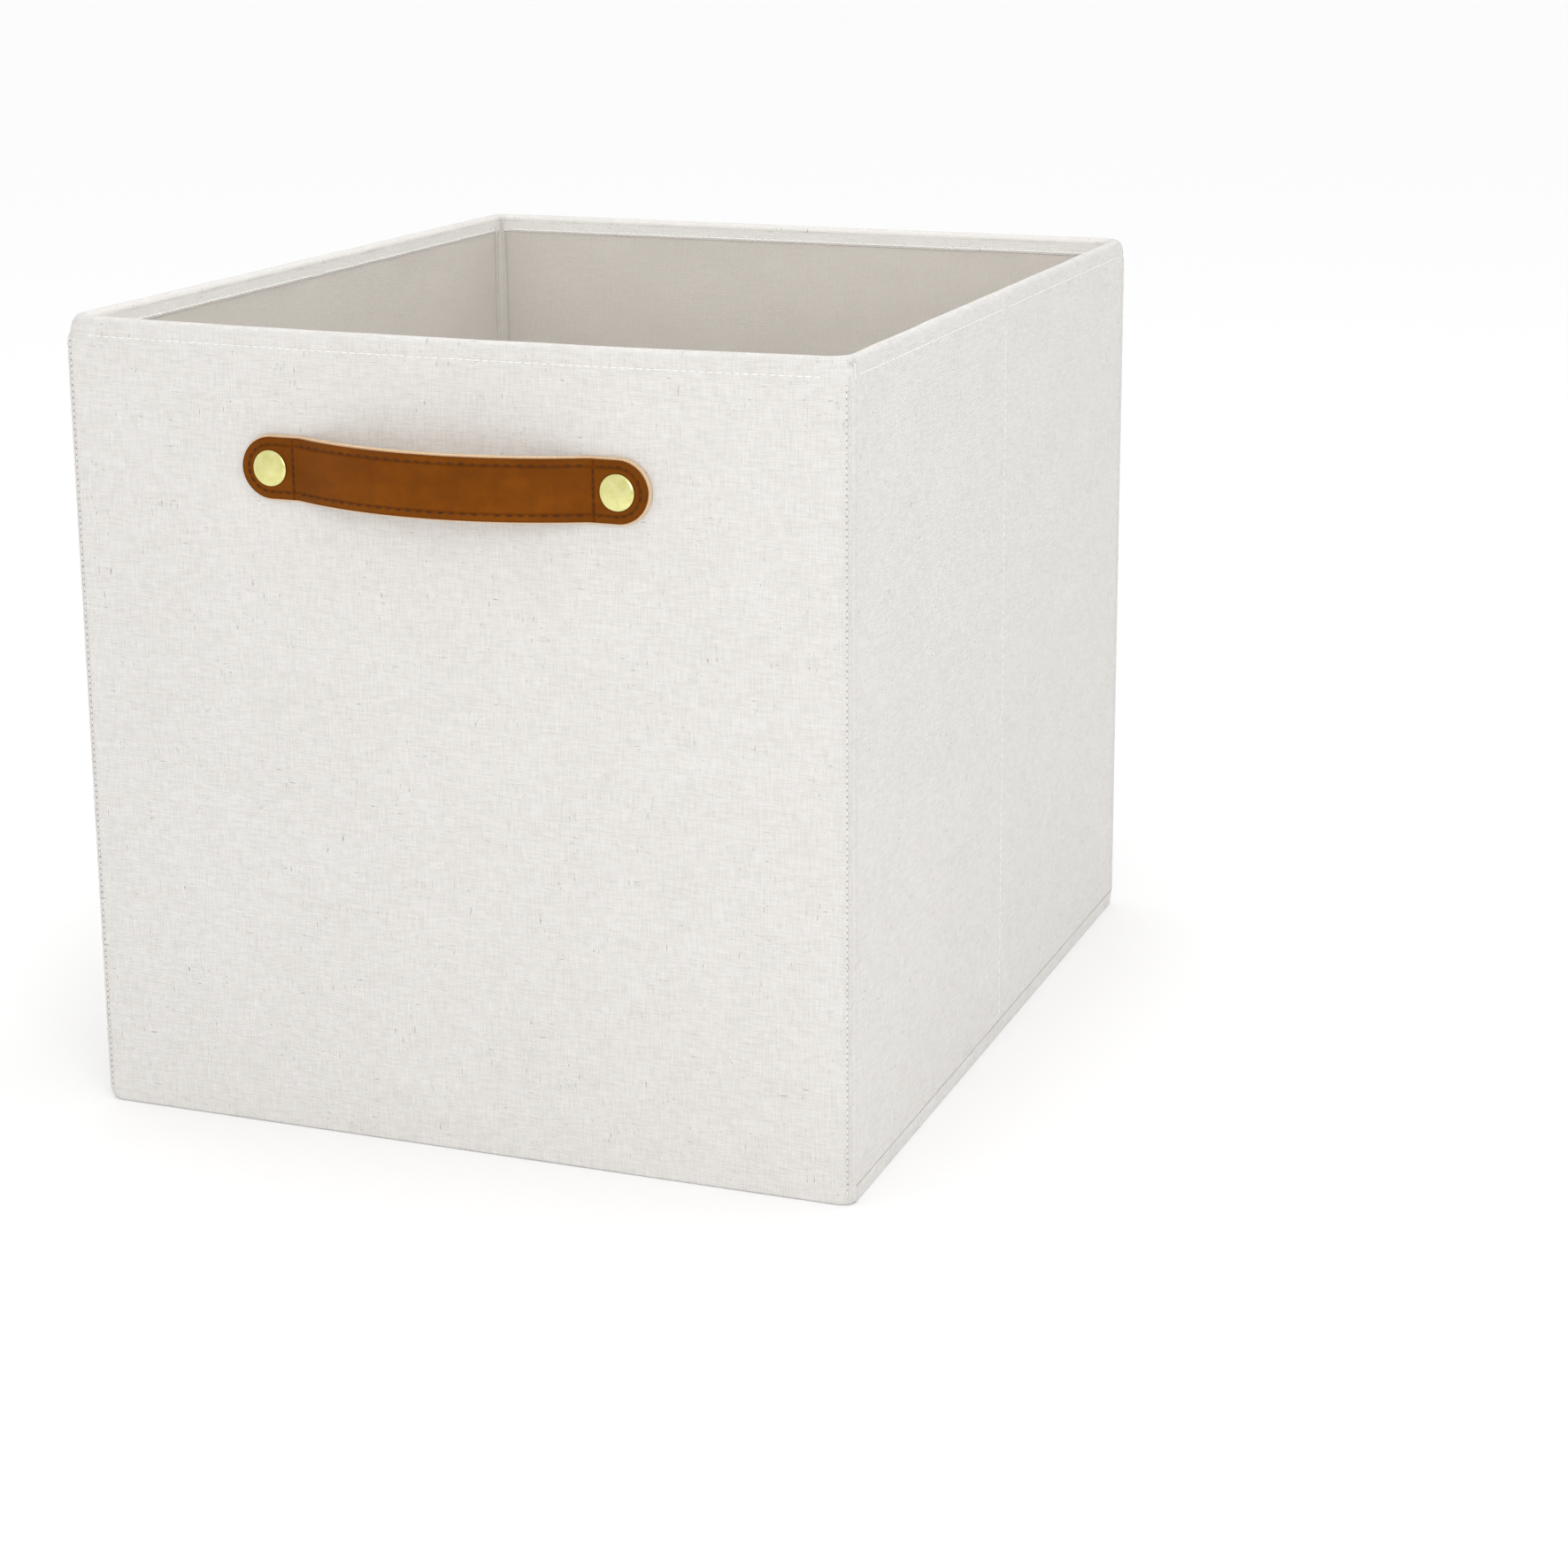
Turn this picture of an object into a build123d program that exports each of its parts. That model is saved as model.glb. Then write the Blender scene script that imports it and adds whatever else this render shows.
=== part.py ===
from build123d import *
import math
import os

os.makedirs("parts", exist_ok=True)

# Frame: millimetres, +Z up. The origin is the middle of the bin's underside.
# The front wall, which carries the handle, faces -Y. The side walls fold inwards.

# Overall size of the open bin, without the handle
WIDTH = 324.0
DEPTH = 381.0
HEIGHT = 324.0

# One wall, from its outside to its inside
FABRIC_T = 0.9
BOARD_T = 2.3
LINING_T = 0.6
LAYER_GAP = 0.1
WALL_T = 2 * FABRIC_T + BOARD_T + LINING_T + 3 * LAYER_GAP

# The outer fabric turns over the rim and comes down the inside as a hem
HEM_DROP = 8.5
LINING_TUCK = 3.0
BOARD_INSET = 2.0
OUTLINE_R = 4.0

# Fold lines: at the corners they run just inside the walls, at the creases on the outer face
SEAM_R = 1.0
SEAM_GAP = 0.3
FOLD_INSET = WALL_T + SEAM_R + SEAM_GAP
CORNER_GAP = 0.4
CREASE_R = 0.35
CREASE_GAP = 0.7

# The side and back walls end above the base, so that they pass over it as the bin folds
SWEEP_Z = 6.0
SKIRT_GAP = 0.4

# Base: outer fabric tray, lining, and a loose board in its own cover
TRAY_FRONT_GAP = 0.3
BASE_LINING_T = 0.5
BASE_COVER_T = 0.4
BASE_BOARD_T = 2.3
BASE_GAP = 1.6
BASE_CORNER_R = 12.0
BASE_BOARD_MARGIN = 1.0

# Handle: a face strap on a backing strap, held by a rivet at each end
RIVET_SPACING = 144.0
RIVET_Z = HEIGHT - 54.0
STRAP_W = 25.0
FACE_T = 1.5
BACKING_T = 1.8
STRAP_LAYER_GAP = 0.05
STRAP_WALL_GAP = 0.1
BOW_HALF = 59.5
BOW_DEPTH = 14.0
GRIP_HALF = 40.0
GRIP_GAP = 0.4

# Rivets: a domed cap and its post, clinched through a washer inside the wall
CAP_R = 6.6
CAP_EDGE_T = 0.7
CAP_DOME = 1.3
POST_R = 2.0
POST_HOLE_R = 2.1
WASHER_R = 6.0
WASHER_T = 0.8

FRONT_Y = -DEPTH / 2
BOARD_Y = FABRIC_T + LAYER_GAP
LINING_Y = BOARD_Y + BOARD_T + LAYER_GAP
RIVET_XS = (-RIVET_SPACING / 2, RIVET_SPACING / 2)


def block(x, y, z):
    """A block between two limits along each axis."""
    size = [high - low for low, high in (x, y, z)]
    middle = [(low + high) / 2 for low, high in (x, y, z)]
    return Pos(*middle) * Box(*size)


# ---- walls: each is made standing with its outer face on y = 0 and its inside towards +Y ----

def outer_fabric(x, bottom, closed_ends):
    """The outer fabric of a wall: its face, the turn over the rim and the hem inside."""
    low, high = x
    skin = block(x, (0, FABRIC_T), (bottom, HEIGHT))
    rim = block(x, (0, WALL_T), (HEIGHT - FABRIC_T, HEIGHT))
    hem = block(x, (WALL_T - FABRIC_T, WALL_T), (HEIGHT - HEM_DROP, HEIGHT))
    fabric = skin + rim + hem
    if closed_ends:
        fabric += block((low, low + FABRIC_T), (0, WALL_T), (bottom, HEIGHT))
        fabric += block((high - FABRIC_T, high), (0, WALL_T), (bottom, HEIGHT))
    return fabric


def rounded_outline(solid, x, bottom):
    """Cuts a wall's four corners to their rounded outline, seen square on."""
    low, high = x
    outline = RectangleRounded(high - low, HEIGHT - bottom, OUTLINE_R)
    middle = ((low + high) / 2, 0, (HEIGHT + bottom) / 2)
    cutter = Pos(*middle) * Rot(90, 0, 0) * extrude(outline, WALL_T, both=True)
    return solid & cutter


def wall_board(x, bottom):
    """The stiff board inside a wall."""
    low, high = x
    inset = (low + BOARD_INSET, high - BOARD_INSET)
    top = HEIGHT - FABRIC_T - LAYER_GAP
    board = block(inset, (BOARD_Y, BOARD_Y + BOARD_T), (bottom + BOARD_INSET, top))
    return fillet(board.edges().filter_by(Axis.Y), OUTLINE_R)


def wall_lining(x, bottom):
    """The lining inside a wall, tucked under the hem at its top."""
    low, high = x
    inset = (low + BOARD_INSET, high - BOARD_INSET)
    top = HEIGHT - FABRIC_T - LINING_TUCK
    return block(inset, (LINING_Y, LINING_Y + LINING_T), (bottom, top))


def make_wall(x, bottom, end_wall):
    """The three layers of a wall. The front and back walls have closed, rounded ends."""
    fabric = outer_fabric(x, bottom, end_wall)
    if end_wall:
        fabric = rounded_outline(fabric, x, bottom)
    return {
        "fabric": fabric,
        "board": wall_board(x, bottom),
        "lining": wall_lining(x, bottom),
    }


def front_wall():
    """The front wall reaches the floor and has holes for the handle's rivets."""
    layers = make_wall((-WIDTH / 2, WIDTH / 2), 0, True)
    place = Pos(0, FRONT_Y, 0)
    return {name: place * (layer - rivet_holes()) for name, layer in layers.items()}


def back_wall():
    layers = make_wall((-WIDTH / 2, WIDTH / 2), SWEEP_Z, True)
    place = Pos(0, DEPTH / 2, 0) * Rot(0, 0, 180)
    return {name: place * layer for name, layer in layers.items()}


def side_half(side, end):
    """Half of a side wall: side is -1 left or 1 right, end is -1 front or 1 back."""
    near, far = CREASE_GAP, DEPTH / 2 - WALL_T - CORNER_GAP
    along = side * end
    x = (near, far) if along > 0 else (-far, -near)
    layers = make_wall(x, SWEEP_Z, False)
    place = Pos(side * WIDTH / 2, 0, 0) * Rot(0, 0, 90 * side)
    return {name: place * layer for name, layer in layers.items()}


def rod(x, y, radius, bottom, top):
    """An upright round rod."""
    return Pos(x, y, (bottom + top) / 2) * Cylinder(radius, top - bottom)


def corner_seam(side, end):
    """The rolled seam that joins two walls, on their fold line inside the corner."""
    x = side * (WIDTH / 2 - FOLD_INSET)
    y = end * (DEPTH / 2 - FOLD_INSET)
    return rod(x, y, SEAM_R, SWEEP_Z, HEIGHT - FABRIC_T)


def crease_stitching(side):
    """The sewn fold line down the middle of a side wall."""
    return rod(side * WIDTH / 2, 0, CREASE_R, SWEEP_Z, HEIGHT)


# ---- base ----

def base_fabric():
    """The outer fabric of the base, turned up as a low skirt under the side and back walls."""
    front = FRONT_Y + WALL_T + TRAY_FRONT_GAP
    x = (-WIDTH / 2, WIDTH / 2)
    tray = block(x, (front, DEPTH / 2), (0, SWEEP_Z - SKIRT_GAP))
    inside_x = (-WIDTH / 2 + FABRIC_T, WIDTH / 2 - FABRIC_T)
    hollow = block(inside_x, (front, DEPTH / 2 - FABRIC_T), (FABRIC_T, SWEEP_Z))
    return tray - hollow


def base_sheet(thickness, bottom, inset):
    """A flat sheet with rounded corners that fits between the walls."""
    width = WIDTH - 2 * (WALL_T + BASE_GAP + inset)
    depth = DEPTH - 2 * (WALL_T + BASE_GAP + inset)
    sheet = extrude(RectangleRounded(width, depth, BASE_CORNER_R), thickness)
    return Pos(0, 0, bottom) * sheet


def base_lining():
    return base_sheet(BASE_LINING_T, FABRIC_T + LAYER_GAP, 0)


def base_insert():
    """The loose base board and its cover, sewn all round the board's edge."""
    bottom = FABRIC_T + BASE_LINING_T + 3 * LAYER_GAP
    total = 2 * BASE_COVER_T + BASE_BOARD_T + 2 * LAYER_GAP
    board_z = bottom + BASE_COVER_T + LAYER_GAP
    board = base_sheet(BASE_BOARD_T, board_z, BASE_BOARD_MARGIN)
    pocket_t = BASE_BOARD_T + 2 * LAYER_GAP
    pocket = base_sheet(pocket_t, board_z - LAYER_GAP, BASE_BOARD_MARGIN - LAYER_GAP)
    cover = base_sheet(total, bottom, 0) - pocket
    return {"board": board, "cover": cover}


# ---- handle ----

def bow_radius():
    """Radius of the grip's bow on the wall's face, from its half width and depth."""
    return (BOW_HALF**2 + BOW_DEPTH**2) / (2 * BOW_DEPTH)


def strap_side(offset):
    """Points of one face of the strap, seen from above: tab, kink, bow, kink, tab."""
    radius = bow_radius() + offset
    centre = bow_radius() - BOW_DEPTH
    kink = math.sqrt(radius**2 - (centre + offset) ** 2)
    end = RIVET_SPACING / 2 + STRAP_W / 2
    flat_y = FRONT_Y - offset
    bow_y = FRONT_Y + centre - radius
    return (end, flat_y), (kink, flat_y), (0, bow_y)


def strap_plan(inner, outer):
    """The strap's section from above, between two distances from the wall."""
    edges = []
    for offset in (inner, outer):
        (end, flat_y), (kink, _), (_, bow_y) = strap_side(offset)
        edges.append(Line((-end, flat_y), (-kink, flat_y)))
        edges.append(ThreePointArc((-kink, flat_y), (0, bow_y), (kink, flat_y)))
        edges.append(Line((kink, flat_y), (end, flat_y)))
    end = strap_side(inner)[0][0]
    for x in (-end, end):
        edges.append(Line((x, FRONT_Y - inner), (x, FRONT_Y - outer)))
    return make_face(edges)


def strap_outline():
    """The strap's outline from the front: straight edges with round ends."""
    outline = SlotOverall(RIVET_SPACING + STRAP_W, STRAP_W)
    reach = 2 * BOW_DEPTH + STRAP_W
    return Pos(0, FRONT_Y, RIVET_Z) * Rot(90, 0, 0) * extrude(outline, reach)


def strap_layer(inner, outer):
    """One layer of the strap as three solids: left end, grip and right end."""
    bar = Pos(0, 0, RIVET_Z - STRAP_W / 2) * extrude(strap_plan(inner, outer), STRAP_W)
    bar = (bar & strap_outline()) - rivet_holes()
    reach = RIVET_SPACING
    y = (FRONT_Y - reach, FRONT_Y)
    z = (RIVET_Z - STRAP_W, RIVET_Z + STRAP_W)
    return {
        "left_end": bar & block((-reach, -GRIP_HALF - GRIP_GAP), y, z),
        "grip": bar & block((-GRIP_HALF, GRIP_HALF), y, z),
        "right_end": bar & block((GRIP_HALF + GRIP_GAP, reach), y, z),
    }


def backing_strap():
    return strap_layer(STRAP_WALL_GAP, STRAP_WALL_GAP + BACKING_T)


def face_strap():
    inner = STRAP_WALL_GAP + BACKING_T + STRAP_LAYER_GAP
    return strap_layer(inner, inner + FACE_T)


def cross_rod(x, radius, y_low, y_high):
    """A round rod along Y at the rivets' height."""
    rod_y = Cylinder(radius, y_high - y_low)
    return Pos(x, (y_low + y_high) / 2, RIVET_Z) * Rot(90, 0, 0) * rod_y


def rivet_holes():
    """Holes for the rivets' posts. They pass a wall standing on y = 0 and one at the front."""
    holes = [cross_rod(x, POST_HOLE_R, -DEPTH, DEPTH) for x in RIVET_XS]
    return holes[0] + holes[1]


def strap_front_y():
    """The face strap's outer face at its flat ends."""
    return FRONT_Y - STRAP_WALL_GAP - BACKING_T - STRAP_LAYER_GAP - FACE_T


def rivet(x):
    """A domed cap with its post."""
    seat = strap_front_y() - STRAP_LAYER_GAP
    lining_face = FRONT_Y + LINING_Y + LINING_T
    tip = lining_face + LAYER_GAP + WASHER_T
    edge = cross_rod(x, CAP_R, seat - CAP_EDGE_T, seat)
    ball_r = (CAP_R**2 + CAP_DOME**2) / (2 * CAP_DOME)
    ball_y = seat - CAP_EDGE_T - CAP_DOME + ball_r
    ball = Pos(x, ball_y, RIVET_Z) * Sphere(ball_r)
    dome = ball & cross_rod(x, CAP_R, seat - CAP_EDGE_T - 2 * CAP_DOME, seat - CAP_EDGE_T)
    post = cross_rod(x, POST_R, seat, tip)
    return edge + dome + post


def rivet_washer(x):
    """The washer that a post is clinched through, on the lining."""
    face = FRONT_Y + LINING_Y + LINING_T + LAYER_GAP
    disc = cross_rod(x, WASHER_R, face, face + WASHER_T)
    return disc - cross_rod(x, POST_HOLE_R, face - WASHER_T, face + 2 * WASHER_T)


# ---- the whole bin ----

def all_nodes():
    nodes = {}
    for name, layer in front_wall().items():
        nodes[f"front_{name}"] = layer
    for name, layer in back_wall().items():
        nodes[f"back_{name}"] = layer
    for side, side_name in ((-1, "left"), (1, "right")):
        for end, end_name in ((-1, "front"), (1, "back")):
            for name, layer in side_half(side, end).items():
                nodes[f"{side_name}_{end_name}_{name}"] = layer
            nodes[f"{end_name}_{side_name}_seam"] = corner_seam(side, end)
        nodes[f"{side_name}_crease_stitching"] = crease_stitching(side)
    nodes["base_fabric"] = base_fabric()
    nodes["base_lining"] = base_lining()
    for name, solid in base_insert().items():
        nodes[f"base_insert_{name}"] = solid
    for layer_name, layer in (("face", face_strap()), ("backing", backing_strap())):
        for name, solid in layer.items():
            nodes[f"handle_{layer_name}_{name}"] = solid
    for x, side_name in zip(RIVET_XS, ("left", "right")):
        nodes[f"handle_{side_name}_rivet"] = rivet(x)
        nodes[f"handle_{side_name}_washer"] = rivet_washer(x)
    return nodes


for node_name, solid in all_nodes().items():
    export_step(solid, f"parts/{node_name}.step")
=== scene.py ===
import math

import bmesh
import bpy
import numpy as np
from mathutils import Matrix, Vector


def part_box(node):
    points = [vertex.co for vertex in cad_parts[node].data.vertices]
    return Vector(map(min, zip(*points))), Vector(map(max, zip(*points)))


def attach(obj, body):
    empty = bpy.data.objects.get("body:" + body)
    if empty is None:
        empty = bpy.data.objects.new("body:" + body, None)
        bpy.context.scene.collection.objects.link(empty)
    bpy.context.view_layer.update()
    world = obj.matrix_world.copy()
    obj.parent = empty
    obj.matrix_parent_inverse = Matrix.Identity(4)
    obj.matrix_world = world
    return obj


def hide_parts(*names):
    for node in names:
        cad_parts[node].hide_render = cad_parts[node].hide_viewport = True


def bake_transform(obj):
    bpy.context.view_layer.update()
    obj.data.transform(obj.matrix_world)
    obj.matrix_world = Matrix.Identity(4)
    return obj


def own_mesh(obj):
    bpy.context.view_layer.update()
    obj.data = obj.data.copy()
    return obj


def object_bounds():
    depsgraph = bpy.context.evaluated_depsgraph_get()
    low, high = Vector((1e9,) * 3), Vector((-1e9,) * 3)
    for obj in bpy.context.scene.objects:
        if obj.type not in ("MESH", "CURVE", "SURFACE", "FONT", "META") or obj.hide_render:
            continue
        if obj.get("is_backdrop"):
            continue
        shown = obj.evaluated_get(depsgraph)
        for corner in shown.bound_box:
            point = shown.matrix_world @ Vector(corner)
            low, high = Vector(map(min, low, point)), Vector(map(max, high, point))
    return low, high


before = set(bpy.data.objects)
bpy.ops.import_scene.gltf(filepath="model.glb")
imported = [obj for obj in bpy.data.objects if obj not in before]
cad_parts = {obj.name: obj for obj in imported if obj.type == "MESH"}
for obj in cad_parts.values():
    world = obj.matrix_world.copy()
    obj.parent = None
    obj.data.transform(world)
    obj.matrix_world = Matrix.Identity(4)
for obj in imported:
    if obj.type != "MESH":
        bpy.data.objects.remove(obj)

CAD_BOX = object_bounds()

# ---- places and sizes, in metres, taken from the frame ----

FRONT_LOW, FRONT_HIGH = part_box("front_fabric")
BACK_LOW, BACK_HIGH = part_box("back_fabric")
HALF_W = FRONT_HIGH.x
HALF_D = BACK_HIGH.y
TOP = FRONT_HIGH.z
WALL_T = FRONT_HIGH.y - FRONT_LOW.y
SIDE_BOTTOM = BACK_LOW.z
SIDE_END_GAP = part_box("left_front_fabric")[0].y - FRONT_HIGH.y
LINING_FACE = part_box("front_lining")[1].y - FRONT_LOW.y
STRAP_LOW, STRAP_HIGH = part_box("handle_face_left_end")
BACKING_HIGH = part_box("handle_backing_left_end")[1]
RIVET_LOW, RIVET_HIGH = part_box("handle_left_rivet")
RIVET_X = -(RIVET_LOW.x + RIVET_HIGH.x) / 2
RIVET_Z = (RIVET_LOW.z + RIVET_HIGH.z) / 2
SEAM_LOW, SEAM_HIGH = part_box("front_left_seam")
FOLD_INSET = (SEAM_LOW.x + SEAM_HIGH.x) / 2 + HALF_W

MM = 0.001
RIM_R = WALL_T / 2
HEM_DROP = 8.5 * MM
HEM_STITCH_DROP = 7.4 * MM
CLOTH_T = 0.8 * MM
LINING_T = 0.5 * MM
LINING_TUCK = 3 * MM  # how far the lining goes up behind the hem
CLOTH_DEPTH = 0.35 * MM  # how far the outer cloth lies inside the CAD's face
EASE = 5 * MM
CORNER_R = 2.6 * MM
RIM_CORNER_R = 11 * MM
RIM_RISE = 9.5 * MM
FOOT_CORNER_R = 6 * MM
FOOT_RISE = 5 * MM
FRONT_SAG = 1.2 * MM
FRONT_SAG_REACH = 60 * MM
THREAD_R = 0.22 * MM
COVE_REACH = 2.3 * MM  # the lining's seam in a corner: its reach past the walls' linings
COVE_BURY = 0.4 * MM
COVE_DROP = 3.5 * MM
FOOT_TURN = 0.6 * MM
WELT_R = 0.5 * MM
GUSSET_T = 0.3 * MM
TRAY_T = 0.7 * MM
TRAY_Z = 0.15 * MM
BASE_LINING_T = 0.35 * MM


# ---- small helpers ----

def smooth_step(t):
    t = np.clip(t, 0, 1)
    return t * t * (3 - 2 * t)


def spread(low, high, step, *fine):
    """Values from low to high about step apart.

    They are finer round each (middle, reach, step) in fine.
    """
    values = set(np.linspace(low, high, max(2, round((high - low) / step) + 1)))
    for middle, reach, small in fine:
        near = np.linspace(middle - reach, middle + reach, round(2 * reach / small) + 1)
        values = {v for v in values if abs(v - middle) > reach + small / 2}
        values |= {v for v in near if low <= v <= high}
    values |= {low, high}
    kept = []
    for v in sorted(values):
        if not kept or v - kept[-1] > 1e-5:
            kept.append(float(v))
    kept[-1] = high
    return np.array(kept)


def bell(distance, width):
    """1 where the distance is 0, and next to nothing from two widths on."""
    return np.exp(-((distance / width) ** 2))


def ripple(u, v, wavelength, seed, count=7):
    """A smooth uneven surface between about -1 and 1, with waves about that long."""
    rng = np.random.default_rng(seed)
    total = np.zeros(np.broadcast(u, v).shape)
    for _ in range(count):
        turn = rng.uniform(0, math.tau)
        size = math.tau / (wavelength * rng.uniform(0.7, 1.5))
        phase = rng.uniform(0, math.tau)
        total += np.sin(u * size * math.cos(turn) + v * size * math.sin(turn) + phase)
    return total / count * 1.6


def stack(*values):
    """Values of shapes that go together, side by side along a new last axis."""
    return np.stack(np.broadcast_arrays(*values), -1)


class Patch:
    """Vertices, faces and cloth coordinates that become one mesh.

    Cloth coordinates are how far along and up the cloth a point lies, in metres, and a third
    from 0 to 1: on linen how far it has turned inside as a hem, where the linen is painted paler
    as light, and on the strap how deep it lies in a sewn groove, where the leather is painted
    darker as shade.
    """

    def __init__(self):
        self.points, self.faces, self.cloth = [], [], []
        self.count = 0

    def grid(self, points, cloth, closed=False, flip=False):
        """Adds a rows x columns grid. closed joins the last column to the first."""
        rows, columns = points.shape[:2]
        index = np.arange(rows * columns).reshape(rows, columns) + self.count
        right = np.roll(index, -1, axis=1) if closed else index[:, 1:]
        left = index if closed else index[:, :-1]
        quads = np.stack([left[:-1], right[:-1], right[1:], left[1:]], -1).reshape(-1, 4)
        self.faces += (quads[:, ::-1] if flip else quads).tolist()
        if cloth.shape[-1] == 2:
            cloth = np.concatenate([cloth, np.zeros(cloth.shape[:-1] + (1,))], -1)
        self.points.append(points.reshape(-1, 3))
        self.cloth.append(cloth.reshape(-1, 3))
        self.count += rows * columns
        return index

    def tube(self, points, cloth, flip=False):
        """Adds closed rings of points, and a face over the first and the last."""
        index = self.grid(points, cloth, closed=True, flip=flip)
        turn = 1 if flip else -1
        self.faces += [index[0][::turn].tolist(), index[-1][::-turn].tolist()]

    def array(self):
        return np.concatenate(self.points)


def make_object(name, patch, material, points=None, merge=0.0, sharp=40):
    """One mesh object from a patch, with its cloth coordinates kept as an attribute.

    points stand in for the patch's own, points closer than merge are joined, and edges
    between faces more than sharp degrees apart stay sharp.
    """
    mesh = bpy.data.meshes.new(name)
    where = patch.array() if points is None else points
    mesh.from_pydata(where.tolist(), [], patch.faces)
    cloth = np.concatenate(patch.cloth)
    attribute = mesh.attributes.new("cloth", "FLOAT_VECTOR", "POINT")
    attribute.data.foreach_set("vector", cloth.astype(np.float32).ravel())
    if merge:
        bm = bmesh.new()
        bm.from_mesh(mesh)
        bmesh.ops.remove_doubles(bm, verts=bm.verts, dist=merge)
        bm.to_mesh(mesh)
        bm.free()
    mesh.polygons.foreach_set("use_smooth", [True] * len(mesh.polygons))
    mesh.set_sharp_from_angle(angle=math.radians(sharp))
    mesh.materials.append(material)
    obj = bpy.data.objects.new(name, mesh)
    bpy.context.scene.collection.objects.link(obj)
    return obj


def thicken(obj, thickness):
    """Gives a sheet its thickness, on the side away from its normals, for good."""
    modifier = obj.modifiers.new("thickness", "SOLIDIFY")
    modifier.thickness = thickness
    modifier.offset = -1
    graph = bpy.context.evaluated_depsgraph_get()
    mesh = bpy.data.meshes.new_from_object(obj.evaluated_get(graph))
    obj.modifiers.clear()
    obj.data = mesh
    return obj


# ---- materials ----

def rgb(r, g, b):
    """A colour given as it looks on a screen, from 0 to 255."""
    def linear(c):
        c /= 255
        return c / 12.92 if c <= 0.04045 else ((c + 0.055) / 1.055) ** 2.4
    return linear(r), linear(g), linear(b), 1.0


class Nodes:
    """A node material, its Principled shader, and short ways to add to them."""

    def __init__(self, name):
        self.material = bpy.data.materials.new(name)
        self.material.use_nodes = True
        self.tree = self.material.node_tree
        self.tree.nodes.clear()
        self.shader = self.tree.nodes.new("ShaderNodeBsdfPrincipled")
        output = self.tree.nodes.new("ShaderNodeOutputMaterial")
        self.tree.links.new(self.shader.outputs[0], output.inputs[0])

    def put(self, socket, value):
        """Sets an input to a value, or links a socket to it."""
        if isinstance(value, bpy.types.NodeSocket):
            self.tree.links.new(value, socket)
        else:
            socket.default_value = value

    def add(self, kind, inputs, **settings):
        node = self.tree.nodes.new(kind)
        for key, value in settings.items():
            setattr(node, key, value)
        for key, value in inputs.items():
            self.put(node.inputs[key], value)
        return node

    def shade(self, inputs):
        """Sets or links inputs of the Principled shader."""
        for key, value in inputs.items():
            self.put(self.shader.inputs[key], value)

    def math(self, operation, a, b=0.0, c=0.0):
        return self.add("ShaderNodeMath", {0: a, 1: b, 2: c}, operation=operation).outputs[0]

    def times(self, a, b):
        return self.math("MULTIPLY", a, b)

    def plus(self, a, b):
        return self.math("ADD", a, b)

    def over(self, a, b):
        return self.math("DIVIDE", a, b)

    def linear(self, value, slope, start):
        return self.math("MULTIPLY_ADD", value, slope, start)

    def cloth_axes(self):
        """The cloth coordinates: along and up the cloth, in metres, and the third, from 0 to 1."""
        source = self.add("ShaderNodeAttribute", {}, attribute_name="cloth")
        split = self.add("ShaderNodeSeparateXYZ", {0: source.outputs["Vector"]})
        return split.outputs["X"], split.outputs["Y"], split.outputs["Z"]

    def noise(self, x, y, x_scale, y_scale, detail=2.0, seed=0.0):
        """Noise over two coordinates, each with its own frequency per metre."""
        vector = self.add("ShaderNodeCombineXYZ", {
            "X": self.times(x, x_scale),
            "Y": self.times(y, y_scale),
            "Z": seed,
        })
        inputs = {"Vector": vector.outputs[0], "Scale": 1.0, "Detail": detail, "Roughness": 0.55}
        return self.add("ShaderNodeTexNoise", inputs).outputs["Fac"]

    def solid_noise(self, scale, detail):
        """Noise through the object's own space."""
        place_in = self.add("ShaderNodeTexCoord", {})
        inputs = {"Vector": place_in.outputs["Object"], "Scale": scale, "Detail": detail}
        return self.add("ShaderNodeTexNoise", inputs).outputs["Fac"]

    def window(self, value, low, high):
        """0 below low, 1 above high, and smooth between."""
        inputs = {"Value": value, "From Min": low, "From Max": high}
        return self.add("ShaderNodeMapRange", inputs, interpolation_type="SMOOTHSTEP").outputs[0]

    def mix(self, share, a, b):
        node = self.add("ShaderNodeMix", {0: share}, data_type="RGBA")
        for socket, value in zip([s for s in node.inputs if s.type == "RGBA"], (a, b)):
            self.put(socket, value)
        return [s for s in node.outputs if s.type == "RGBA"][0]

    def bump(self, height, distance, strength):
        inputs = {"Height": height, "Distance": distance, "Strength": strength}
        self.shade({"Normal": self.add("ShaderNodeBump", inputs).outputs[0]})


WEAVE_PITCH = 0.7 * MM
HEM_PAINTED_LIGHT = 0.55
BOND_PITCH = 1.15 * MM
BOND_SLOPE = 0.72
TWIST_PITCH = 0.45 * MM
PORES_PER_M = 1500.0


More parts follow.
